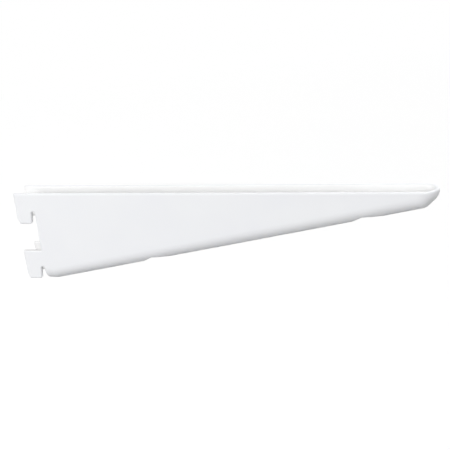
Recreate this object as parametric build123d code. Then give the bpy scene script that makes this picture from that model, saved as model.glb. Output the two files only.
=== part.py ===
"""Slotted shelf bracket: one piece of sheet steel, folded into a closed-nose channel.

The channel is open at the top. Its two walls carry the shelf on their top edges, and a
full-round fold joins them along a sloping keel that sweeps up into a round nose. Each
wall ends at the back in two hooks, one slot pitch apart, that drop into an upright.
Two level seats are pressed into the keel for the screws that hold the shelf down.

Frame: X runs from the upright's face out to the nose, Y across the channel, Z up.
The origin is where the walls' back edges meet the shelf plane, midway between the walls.
"""

import math
import os

from build123d import *

# Slotted upright that the hooks drop into: slot spacing, and the gap behind the hooks' tips
slot_pitch = 32.0
upright_gap = 2.8

# Channel
shelf_reach = 220.0
channel_width = 14.5
sheet = 2.0

# Hooks: neck above the slit, slit that widens towards its mouth, and plate behind the slit
hook_neck = 10.3
slit_width = 2.1
slit_depth = 6.9
hook_width = 8.3
lower_hook_step = 0.8
lead_in_width = 1.2
lead_in_height = 2.8
hook_tip_radius = 1.4

# Heel: flat wall below the lower slit's round end, and the keel's level stretch at the back
heel_land = 0.1
heel_run = 4.6

# Nose: flat wall left at the front, and the run of the sweep up to the tip
nose_wall = 2.9
nose_sweep = 3.0

# Pressed seats for the shelf screws
back_seat_place = 64.2
front_seat_setback = 38.8
seat_lift = 2.5
seat_ramp = 7.0
seat_fold_radius = 1.5
seat_edge_radius = 1.0
screw_place = 6.0
screw_hole = 4.5

# Cut edges, softened by the coating
edge_radius = 0.35

# How far cutting shapes run past what they cut
clear = 5.0

fold_radius = channel_width / 2
hook_drop = hook_neck + slit_depth
hook_reach = upright_gap + hook_width
slit_radius = slit_width / 2
back_wall = slot_pitch + hook_neck + slit_radius + heel_land
tip_x = shelf_reach - fold_radius
turn_x = tip_x - nose_sweep
keel_slope = (back_wall - nose_wall) / (turn_x - heel_run)
keel_drop = fold_radius / math.cos(math.atan(keel_slope))
seat_places = (back_seat_place, shelf_reach - front_seat_setback)


def keel_height(x: float) -> float:
    """Height at x of the keel's sloping stretch, the lowest line of the channel."""
    return keel_slope * (x - heel_run) - back_wall - keel_drop


def fold_line() -> list[Vector]:
    """Path of the fold's centre: level heel, sloping keel, nose, and on above the shelf."""
    return [
        Vector(-clear, 0, -back_wall),
        Vector(heel_run, 0, -back_wall),
        Vector(turn_x, 0, -nose_wall),
        Vector(tip_x, 0, 0),
        Vector(tip_x, 0, clear),
    ]


def half_disc(at: Vector, along: Vector, radius: float) -> Sketch:
    """Half disc square to the fold line, on the outer side of the fold."""
    plane = Plane(origin=at, x_dir=(0, 1, 0), z_dir=along)
    outer_half = Pos(0, -radius) * Rectangle(2 * radius, 2 * radius)
    return plane * (Circle(radius) & outer_half)


def rolled_form(radius: float) -> Part:
    """Form that a ball of this radius sweeps along the fold line, filled to above the shelf."""
    path = fold_line()
    side = Polyline(*[(p.X, p.Z) for p in path], (path[0].X, clear), close=True)
    form = extrude(Plane.XZ * make_face(side), radius, both=True)
    ways = [(end - start).normalized() for start, end in zip(path, path[1:])]
    for start, end, along in zip(path, path[1:], ways):
        form += extrude(half_disc(start, along, radius), (end - start).length)
    for corner, before, after in zip(path[1:], ways, ways[1:]):
        turn = before.get_angle(after)
        form += revolve(half_disc(corner, before, radius), Axis(corner, (0, -1, 0)), turn)
    return form


def seat_side(place: float) -> Sketch:
    """Side view of the room below a seat: a ramp up from the keel, then level."""
    level = keel_height(place) + seat_lift
    foot_x = place - seat_ramp
    end_x = place + seat_lift / keel_slope + clear
    floor = keel_height(foot_x) - clear
    outline = make_face(
        Polyline(
            (foot_x, floor),
            (foot_x, keel_height(foot_x)),
            (place, level),
            (end_x, level),
            (end_x, floor),
            close=True,
        )
    )
    fold = outline.vertices().sort_by_distance((place, level))[0]
    return fillet(fold, seat_fold_radius)


def folded_sheet() -> Part:
    """Channel with its seats: one sheet thickness between an outer and an inner form."""
    outer = rolled_form(fold_radius)
    inner = rolled_form(fold_radius - sheet)
    for place in seat_places:
        side = seat_side(place)
        outer -= extrude(Plane.XZ * side, channel_width, both=True)
        inner -= extrude(Plane.XZ * offset(side, sheet), channel_width, both=True)
    return outer - inner


def channel() -> Part:
    """Folded sheet cut off square at the upright's face and at the shelf plane."""
    height = back_wall + 2 * fold_radius
    room = Box(shelf_reach, channel_width, height)
    return folded_sheet() & Pos(shelf_reach / 2, 0, -height / 2) * room


def hook_side(level: float, top: float) -> Sketch:
    """Side view of a hook: level is its slot's height, top is where its plate starts."""
    back = -hook_reach
    bottom = level - hook_drop
    plate = make_face(
        Polyline(
            (0, top),
            (back, top),
            (back, bottom + lead_in_height),
            (back + lead_in_width, bottom),
            (0, bottom),
            close=True,
        )
    )
    slit_centre = level - hook_neck - slit_radius
    slit_end = Pos(-slit_radius, slit_centre) * Circle(slit_radius)
    slit = make_face(
        Polyline(
            (0, slit_centre),
            (-slit_width, slit_centre),
            (-upright_gap, bottom),
            (0, bottom),
            close=True,
        )
    )
    plate -= slit_end + slit
    tip = plate.vertices().sort_by_distance((-upright_gap, bottom))[0]
    return fillet(tip, hook_tip_radius)


def hooks() -> Part:
    """Four flat hooks, two in the plane of each wall."""
    side = hook_side(0, 0) + hook_side(-slot_pitch, -slot_pitch - lower_hook_step)
    plate = extrude(Plane.XZ * side, sheet / 2, both=True)
    offset_y = fold_radius - sheet / 2
    return Pos(0, offset_y, 0) * plate + Pos(0, -offset_y, 0) * plate


def seat_edges(solid: Part) -> list[Edge]:
    """Edges where the round fold meets a seat or its ramp, outside and inside."""
    along = []
    for place in seat_places:
        start = place - seat_ramp - sheet
        end = place + seat_lift / keel_slope + clear
        for edge in solid.edges():
            box = edge.bounding_box()
            if start < box.min.X and box.max.X < end and edge.geom_type != GeomType.LINE:
                along.append(edge)
    return along


def screw_holes() -> Part:
    """Holes straight up through the two seats."""
    holes = Part()
    for place in seat_places:
        x = place + screw_place
        level = keel_height(place) + seat_lift + sheet / 2
        holes += Pos(x, 0, level) * Cylinder(screw_hole / 2, 2 * sheet)
    return holes


def cut_edges(solid: Part) -> list[Edge]:
    """Edges along the sheet's cut outline: the top rims, the back edges and the hooks."""
    along = []
    for edge in solid.edges():
        box = edge.bounding_box()
        across = edge.geom_type == GeomType.LINE and abs(edge.tangent_at(0).Y) > 0.99
        on_outline = box.min.Z > -edge_radius / 2 or box.max.X < edge_radius / 2
        if on_outline and not across:
            along.append(edge)
    return along


def bracket() -> Part:
    """The whole bracket, one solid."""
    solid = channel() + hooks()
    solid = fillet(seat_edges(solid), seat_edge_radius) - screw_holes()
    return fillet(cut_edges(solid), edge_radius)


os.makedirs("parts", exist_ok=True)
part = bracket()
print("volume", part.volume, "solids", len(part.solids()), "faces", len(part.faces()))
print(part.bounding_box(), part.is_valid)
export_step(part, "parts/bracket.step")
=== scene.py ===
"""Looks of a slotted shelf bracket: folded sheet steel in a smooth satin white powder coat.

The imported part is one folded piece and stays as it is. This script gives it the coat as a
procedural material and sets the floor, the lamps and the camera round it. Everything is in
the part's own frame and in metres: X runs from the upright's face to the nose, Y across the
channel, Z up. A name that ends in mm is in millimetres, and angles are in degrees.
"""

import logging
import math
from dataclasses import dataclass, field
from enum import Enum
from typing import Any

import bpy
from mathutils import Matrix, Vector


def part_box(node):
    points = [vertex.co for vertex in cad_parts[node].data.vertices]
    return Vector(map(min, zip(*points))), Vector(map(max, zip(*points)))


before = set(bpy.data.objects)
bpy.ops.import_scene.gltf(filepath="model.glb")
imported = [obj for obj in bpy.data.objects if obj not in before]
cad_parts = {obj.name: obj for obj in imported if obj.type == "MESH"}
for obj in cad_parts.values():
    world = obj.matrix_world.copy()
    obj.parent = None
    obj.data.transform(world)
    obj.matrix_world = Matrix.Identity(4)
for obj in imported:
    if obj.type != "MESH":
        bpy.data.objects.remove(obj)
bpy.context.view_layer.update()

PHOTO_SIDE_PX = 450
MM = 0.001

# The strength at which a plain ground is white.
PLAIN_WHITE = 1.0

# The values that a noise seldom leaves.
NOISE_BAND = {"From Min": 0.3, "From Max": 0.7}

# The colour sockets of a Mix node. They go by number, because several of its sockets share a name.
MIX_A, MIX_B, MIX_RESULT = 6, 7, 2

BEVEL_SAMPLES = 8

log = logging.getLogger("shelf_bracket")


class Gloss(Enum):
    """Gloss grades of a powder coat, each with the roughness that gives it."""

    MATT = 0.62
    SATIN = 0.44
    GLOSS = 0.16


class SeenBy(Enum):
    """Rays to which the plain background is white. All others only carry light."""

    CAMERA = "Is Camera Ray"
    REFLECTION = "Is Glossy Ray"
    GLASS = "Is Transmission Ray"


def linear(hex_code: str) -> tuple[float, float, float, float]:
    """Turns an sRGB hex colour into the linear colour that shaders take.

    Args:
        hex_code: Six hex digits after a hash sign.

    Returns:
        Red, green, blue and an alpha of one.
    """
    digits = hex_code.lstrip("#")
    shares = [int(digits[i : i + 2], 16) / 255 for i in (0, 2, 4)]
    # The sRGB curve has a straight foot and follows a power above it.
    red, green, blue = (
        share / 12.92 if share <= 0.04045 else ((share + 0.055) / 1.055) ** 2.4
        for share in shares
    )
    return red, green, blue, 1.0


def add_node(
    tree: bpy.types.NodeTree,
    kind: str,
    settings: dict[str | int, Any] | None = None,
    links: dict[str | int, bpy.types.NodeSocket] | None = None,
) -> bpy.types.Node:
    """Adds a node with its settings and links.

    Args:
        tree: Tree that gets the node.
        kind: Type of the node, such as ShaderNodeBump.
        settings: Values of its inputs, by name or number, or of its other properties.
        links: Outputs of other nodes, by the input that each feeds.

    Returns:
        The new node.
    """
    node = tree.nodes.new(kind)
    for name, value in (settings or {}).items():
        if isinstance(name, int) or name in node.inputs:
            node.inputs[name].default_value = value
        else:
            setattr(node, name, value)
    for name, output in (links or {}).items():
        tree.links.new(output, node.inputs[name])
    return node


def new_material(name: str) -> tuple[bpy.types.Material, bpy.types.NodeTree]:
    """Makes a material with an empty node tree.

    Args:
        name: Name of the material.

    Returns:
        The material and its tree.
    """
    material = bpy.data.materials.new(name)
    material.use_nodes = True
    material.node_tree.nodes.clear()
    return material, material.node_tree


def seen_share(tree: bpy.types.NodeTree) -> bpy.types.NodeSocket:
    """Adds a mask that is one for the rays that look at the background.

    Args:
        tree: Tree of a material or of the world.

    Returns:
        The mask.
    """
    path = add_node(tree, "ShaderNodeLightPath")
    share = path.outputs[SeenBy.CAMERA.value]
    for ray in (SeenBy.REFLECTION, SeenBy.GLASS):
        either = {0: share, 1: path.outputs[ray.value]}
        larger = add_node(tree, "ShaderNodeMath", {"operation": "MAXIMUM"}, either)
        share = larger.outputs["Value"]
    return share


def toward(azimuth: float, elevation: float) -> Vector:
    """Direction from the part to a place round it.

    Args:
        azimuth: Degrees round the part. 0 is on the -Y side and 90 on the +X side.
        elevation: Degrees above the horizon.

    Returns:
        A vector of length one.
    """
    turn, rise = math.radians(azimuth), math.radians(elevation)
    return Vector(
        (
            math.sin(turn) * math.cos(rise),
            -math.cos(turn) * math.cos(rise),
            math.sin(rise),
        )
    )


@dataclass(frozen=True)
class Waves:
    """Size of an uneven pattern: the length of its waves, and the octaves of finer ones on them."""

    length_mm: float
    octaves: float

    def add(self, tree: bpy.types.NodeTree) -> bpy.types.NodeSocket:
        """Adds the pattern to a material.

        Args:
            tree: Tree of the material.

        Returns:
            The pattern's value.
        """
        place = add_node(tree, "ShaderNodeTexCoord").outputs["Object"]
        size = {"Scale": 1 / (self.length_mm * MM), "Detail": self.octaves}
        return add_node(tree, "ShaderNodeTexNoise", size, {"Vector": place}).outputs["Fac"]


@dataclass(frozen=True)
class PowderCoat:
    """Polyester powder coat, sprayed dry on sheet steel and baked.

    To the eye it is one even, slightly cool white with a soft sheen. The melt levels out into
    a faint orange peel. It pulls back from the cut edges, where it lies thinner and the steel
    greys it. The inside of the channel has painted shade: a neutral white in place of the cool one.
    """

    name: str = "powder_coated_steel"
    white: str = "#F0F1F4"
    thick_film: str = "#F2F3F5"
    thin_film: str = "#E9EAEC"
    # Painted shade: the neutral white that stands in for the light inside the channel.
    inner_painted_shade: str = "#F1F1F1"
    # The coat is resin and pigment. It hides the steel, so there is nothing metallic about it.
    metallic: float = 0.0
    resin_ior: float = 1.5
    gloss: Gloss = Gloss.SATIN
    # The gloss drifts by the spread to either side, over a few waves of the orange peel.
    gloss_spread: float = 0.05
    gloss_drift: Waves = Waves(length_mm=9.6, octaves=2.0)
    # The film's thickness drifts with the strokes of the spray gun.
    cloud: Waves = Waves(length_mm=30.0, octaves=2.0)
    peel: Waves = Waves(length_mm=2.4, octaves=1.0)
    peel_height_mm: float = 0.006
    # Real grain is near 0.1 mm. It is drawn at 0.5 mm, about a pixel, so that it shows at all.
    grain: Waves = Waves(length_mm=0.5, octaves=0.0)
    grain_height_mm: float = 0.002
    # Radius of the soft turn that the melt makes over an edge.
    round_mm: float = 1.3
    # How far the thin film reaches in from an edge. It starts where a normal rounded by that
    # much leaves the true one by the first cosine, and is full at the second.
    edge_mm: float = 0.5
    edge_from_cosine: float = 0.995
    edge_to_cosine: float = 0.85
    # The painted shade inside the channel lies on what faces the line midway between the rims. It
    # starts at the first distance from that line and is full at the second.
    inner_from_mm: float = 1.5
    inner_to_mm: float = 3.0

    def edge_share(self, tree: bpy.types.NodeTree) -> bpy.types.NodeSocket:
        """Adds a mask that is one on sharp edges and nought on open surfaces.

        Args:
            tree: Tree of the material.

        Returns:
            The mask, from how far a rounded normal turns away from the true one.
        """
        true = add_node(tree, "ShaderNodeNewGeometry").outputs["Normal"]
        bevel = {"samples": BEVEL_SAMPLES, "Radius": self.edge_mm * MM}
        rounded = add_node(tree, "ShaderNodeBevel", bevel).outputs["Normal"]
        normals = {0: rounded, 1: true}
        cosine = add_node(tree, "ShaderNodeVectorMath", {"operation": "DOT_PRODUCT"}, normals)
        reach = {"From Min": self.edge_from_cosine, "From Max": self.edge_to_cosine}
        mask = add_node(tree, "ShaderNodeMapRange", reach, {"Value": cosine.outputs["Value"]})
        return mask.outputs["Result"]

    def inner_shade_share(self, tree: bpy.types.NodeTree) -> bpy.types.NodeSocket:
        """Adds the mask of the painted shade: one inside the channel, nought on its outside and
        rims.

        Args:
            tree: Tree of the material.

        Returns:
            The mask, from how far the surface faces back towards the line between the rims.
        """
        place = add_node(tree, "ShaderNodeTexCoord").outputs["Object"]
        without_x = {"operation": "MULTIPLY", 1: (0.0, 1.0, 1.0)}
        offset = add_node(tree, "ShaderNodeVectorMath", without_x, {0: place}).outputs["Vector"]
        facing = add_node(tree, "ShaderNodeNewGeometry").outputs["True Normal"]
        vectors = {0: offset, 1: facing}
        away = add_node(tree, "ShaderNodeVectorMath", {"operation": "DOT_PRODUCT"}, vectors)
        reach = {"From Min": -self.inner_from_mm * MM, "From Max": -self.inner_to_mm * MM}
        mask = add_node(tree, "ShaderNodeMapRange", reach, {"Value": away.outputs["Value"]})
        return mask.outputs["Result"]

    def film_colour(self, tree: bpy.types.NodeTree) -> bpy.types.NodeSocket:
        """Adds the film's colour: cloudy by thickness, painted shade inside, greyer on the edges.

        Args:
            tree: Tree of the material.

        Returns:
            The colour.
        """
        cloud = add_node(tree, "ShaderNodeMapRange", NOISE_BAND, {"Value": self.cloud.add(tree)})
        even = add_node(
            tree,
            "ShaderNodeMix",
            {"data_type": "RGBA", MIX_A: linear(self.white), MIX_B: linear(self.thick_film)},
            {0: cloud.outputs["Result"]},
        )
        # Painted shade: the inside of the channel turns a neutral white.
        inner = add_node(
            tree,
            "ShaderNodeMix",
            {"data_type": "RGBA", MIX_B: linear(self.inner_painted_shade)},
            {0: self.inner_shade_share(tree), MIX_A: even.outputs[MIX_RESULT]},
        )
        thinned = add_node(
            tree,
            "ShaderNodeMix",
            {"data_type": "RGBA", MIX_B: linear(self.thin_film)},
            {0: self.edge_share(tree), MIX_A: inner.outputs[MIX_RESULT]},
        )
        return thinned.outputs[MIX_RESULT]

    def relief(self, tree: bpy.types.NodeTree) -> bpy.types.NodeSocket:
        """Adds the film's soft turn over the edges, the orange peel and the grain.

        Args:
            tree: Tree of the material.

        Returns:
            The bumped normal.
        """
        bevel = {"samples": BEVEL_SAMPLES, "Radius": self.round_mm * MM}
        normal = add_node(tree, "ShaderNodeBevel", bevel).outputs["Normal"]
        for waves, height_mm in (
            (self.peel, self.peel_height_mm),
            (self.grain, self.grain_height_mm),
        ):
            links = {"Height": waves.add(tree), "Normal": normal}
            bump = add_node(tree, "ShaderNodeBump", {"Distance": height_mm * MM}, links)
            normal = bump.outputs["Normal"]
        return normal

    def sheen(self, tree: bpy.types.NodeTree) -> bpy.types.NodeSocket:
        """Adds the roughness, which wanders a little as the melt levelled more or less.

        Args:
            tree: Tree of the material.

        Returns:
            The roughness.
        """
        reach = {
            "To Min": self.gloss.value - self.gloss_spread,
            "To Max": self.gloss.value + self.gloss_spread,
        }
        drift = {"Value": self.gloss_drift.add(tree)}
        return add_node(tree, "ShaderNodeMapRange", NOISE_BAND | reach, drift).outputs["Result"]

    def material(self) -> bpy.types.Material:
        """Makes the coat's material, with the resin's gloss over the white pigment.

        Returns:
            The material.
        """
        material, tree = new_material(self.name)
        shader = add_node(
            tree,
            "ShaderNodeBsdfPrincipled",
            {"IOR": self.resin_ior, "Metallic": self.metallic},
            {
                "Base Color": self.film_colour(tree),
                "Roughness": self.sheen(tree),
                "Normal": self.relief(tree),
            },
        )
        add_node(tree, "ShaderNodeOutputMaterial", links={"Surface": shader.outputs["BSDF"]})
        return material


@dataclass(frozen=True)
class PaperSweep:
    """Matt background paper: white to look at, but it throws little light back at the part.

    The eye sees a clean white ground with the part's faint, soft shadow on it. The underside of
    the part keeps its shade, because little light comes up from below.
    """

    name: str = "background_paper"
    seen: str = "#FFFFFF"
    lit: str = "#6A6A6A"
    # Glow of the paper's optical brightener, for the rays that look at it.
    brightener: float = 0.04
    # The paper runs out into the room's white between these distances from its middle.
    fades_from: float = 0.8
    fades_to: float = 1.6

    def looked_at(self, tree: bpy.types.NodeTree) -> bpy.types.NodeSocket:
        """Adds the paper as the eye sees it: it runs out into the plain white of the room.

        Args:
            tree: Tree of the material.

        Returns:
            The shader.
        """
        matt = add_node(tree, "ShaderNodeBsdfDiffuse", {"Color": linear(self.seen)})
        glow = add_node(tree, "ShaderNodeEmission", {"Strength": self.brightener})
        both = {0: matt.outputs["BSDF"], 1: glow.outputs["Emission"]}
        near = add_node(tree, "ShaderNodeAddShader", links=both).outputs["Shader"]
        plain = add_node(tree, "ShaderNodeEmission", {"Strength": PLAIN_WHITE})
        place = add_node(tree, "ShaderNodeTexCoord").outputs["Object"]
        away = add_node(tree, "ShaderNodeVectorMath", {"operation": "LENGTH"}, {0: place})
        reach = {"From Min": self.fades_from, "From Max": self.fades_to}
        share = add_node(tree, "ShaderNodeMapRange", reach, {"Value": away.outputs["Value"]})
        mixed = {0: share.outputs["Result"], 1: near, 2: plain.outputs["Emission"]}
        return add_node(tree, "ShaderNodeMixShader", links=mixed).outputs["Shader"]

    def material(self) -> bpy.types.Material:
        """Makes the paper's material, clear from below so that the part's underside can be seen.

        Returns:
            The material.
        """
        material, tree = new_material(self.name)
        lit = add_node(tree, "ShaderNodeBsdfDiffuse", {"Color": linear(self.lit)})
        paper = add_node(
            tree,
            "ShaderNodeMixShader",
            links={0: seen_share(tree), 1: lit.outputs["BSDF"], 2: self.looked_at(tree)},
        )
        clear = add_node(tree, "ShaderNodeBsdfTransparent")
        below = add_node(tree, "ShaderNodeNewGeometry").outputs["Backfacing"]
        one_sided = add_node(
            tree,
            "ShaderNodeMixShader",
            links={0: below, 1: paper.outputs["Shader"], 2: clear.outputs["BSDF"]},
        )
        add_node(tree, "ShaderNodeOutputMaterial", links={"Surface": one_sided.outputs["Shader"]})
        return material


@dataclass
class FoldedBracket:
    """The bracket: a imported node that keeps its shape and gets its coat."""

    node: str = "bracket"
    coat: PowderCoat = field(default_factory=PowderCoat)

    def dress(self) -> bpy.types.Object:
        """Puts the coat on every material slot of the folded sheet.

        Returns:
            The dressed object.
        """
        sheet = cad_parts[self.node]
        material = self.coat.material()
        for place in sheet.material_slots:
            place.material = material
        low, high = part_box(self.node)
        size = " x ".join(f"{length / MM:.1f}" for length in high - low)
        log.info("%s: %s mm, in %s", self.node, size, self.coat.name)
        return sheet


@dataclass
class Lamp:
    """A soft source so far away that it lights the whole part evenly.

    Its level is what it adds to a white card that faces it, and its spread is the angle that it
    fills as seen from the part.
    """

    name: str
    azimuth: float
    elevation: float
    level: float
    spread: float = 30.0

    def data(self) -> bpy.types.Light:
        """Makes the lamp's light.

        Returns:
            The light.
        """
        light = bpy.data.lights.new(self.name, "SUN")
        light.energy = self.level * math.pi
        light.angle = math.radians(self.spread)
        return light

    def place(self) -> Vector:
        """Where the lamp stands. Only its direction counts."""
        return toward(self.azimuth, self.elevation)

    def build(self) -> bpy.types.Object:
        """Makes the lamp and turns it to the part.

        Returns:
            The lamp.
        """
        lamp = bpy.data.objects.new(self.name, self.data())
        turn = toward(self.azimuth, self.elevation).to_track_quat("Z", "Y")
        lamp.matrix_world = Matrix.LocRotScale(self.place(), turn, None)
        lamp.visible_camera = False
        bpy.context.scene.collection.objects.link(lamp)
        log.info(
            "%s: level %.2f from %.0f, %.0f", self.name, self.level, self.azimuth, self.elevation
        )
        return lamp


@dataclass
class SoftBox(Lamp):
    """A round soft box near the part. Its light falls off from the hooks to the nose."""

    distance: float = 3.2
    aim: tuple[float, float, float] = (0.08, 0.0, -0.02)

    def data(self) -> bpy.types.Light:
        """Makes the box's light. Its level holds for a card at its aim.

        Returns:
            The light.
        """
        light = bpy.data.lights.new(self.name, "AREA")
        light.shape = "DISK"
        light.size = 2 * self.distance * math.tan(math.radians(self.spread / 2))
        light.energy = self.level * (math.pi * self.distance) ** 2
        return light

    def place(self) -> Vector:
        """Where the box stands."""
        return Vector(self.aim) + toward(self.azimuth, self.elevation) * self.distance


@dataclass
class Studio:
    """Floor, room light and lamps, as for a picture in a catalogue."""

    floor_below: float = 0.30
    floor_side: float = 12.0
    room_white: str = "#FFFFFF"
    room_level: float = 0.15
    paper: PaperSweep = field(default_factory=PaperSweep)
    lamps: tuple[Lamp, ...] = (
        SoftBox("left_box", azimuth=-40.0, elevation=12.0, level=0.58),
        Lamp("front_lamp", azimuth=19.0, elevation=27.0, level=0.37),
        Lamp("right_lamp", azimuth=75.0, elevation=15.0, level=0.30),
        Lamp("top_lamp", azimuth=180.0, elevation=60.0, level=0.52),
        Lamp("back_lamp", azimuth=180.0, elevation=8.0, level=0.18),
    )

    def floor(self) -> bpy.types.Object:
        """Makes the floor, far enough below the hanging part that its shadow is soft.

        Returns:
            The floor.
        """
        half = self.floor_side / 2
        corners = [(-half, -half), (half, -half), (half, half), (-half, half)]
        mesh = bpy.data.meshes.new("floor")
        mesh.from_pydata([(x, y, -self.floor_below) for x, y in corners], [], [(0, 1, 2, 3)])
        mesh.materials.append(self.paper.material())
        floor = bpy.data.objects.new("floor", mesh)
        bpy.context.scene.collection.objects.link(floor)
        log.info(
            "floor: %.0f m wide, %.2f m below the shelf plane", self.floor_side, self.floor_below
        )
        return floor

    def room(self) -> bpy.types.World:
        """Makes the room: white to look at, and a low even light for the part.

        Returns:
            The room's world.
        """
        world = bpy.data.worlds.new("room")
        world.use_nodes = True
        tree = world.node_tree
        tree.nodes.clear()
        level = {"To Min": self.room_level, "To Max": PLAIN_WHITE}
        strength = add_node(tree, "ShaderNodeMapRange", level, {"Value": seen_share(tree)})
        white = add_node(
            tree,
            "ShaderNodeBackground",
            {"Color": linear(self.room_white)},
            {"Strength": strength.outputs["Result"]},
        )
        add_node(tree, "ShaderNodeOutputWorld", links={"Surface": white.outputs["Background"]})
        bpy.context.scene.world = world
        log.info("room: level %.2f", self.room_level)
        return world

    def build(self) -> None:
        """Makes the floor, the room and the lamps."""
        self.floor()
        self.room()
        for lamp in self.lamps:
            lamp.build()


@dataclass
class PictureCamera:
    """Camera at the picture's viewing angle, with the picture's lean to the right.

    Its values come from a least-squares fit of the part's edges to the picture's.
    """

    azimuth: float = 22.59
    elevation: float = 19.67
    lean: float = 7.575
    distance: float = 0.6709
    aim: tuple[float, float, float] = (0.10655, 0.0, -0.0198)
    focal_px: float = 1297.0
    sensor_mm: float = 36.0

    def build(self) -> bpy.types.Object:
        """Makes the camera and gives it to the scene.

        Returns:
            The camera.
        """
        back = toward(self.azimuth, self.elevation)
        place = Vector(self.aim) + back * self.distance
        level = back.to_track_quat("Z", "Y").to_matrix()
        leaning = level @ Matrix.Rotation(-math.radians(self.lean), 3, "Z")
        data = bpy.data.cameras.new("picture_camera")
        data.sensor_width = self.sensor_mm
        data.lens = self.focal_px / PHOTO_SIDE_PX * self.sensor_mm
        camera = bpy.data.objects.new("picture_camera", data)
        camera.matrix_world = Matrix.LocRotScale(place, leaning, None)
        bpy.context.scene.collection.objects.link(camera)
        bpy.context.scene.camera = camera
        log.info("camera: %.1f mm lens, %.2f m away", data.lens, self.distance)
        return camera


def main() -> None:
    """Dresses the bracket and sets the studio and the camera round it."""
    logging.basicConfig(level=logging.INFO, format="%(name)s: %(message)s")
    bpy.context.scene.view_settings.view_transform = "Standard"
    FoldedBracket().dress()
    Studio().build()
    PictureCamera().build()


if __name__ == "__main__":
    main()
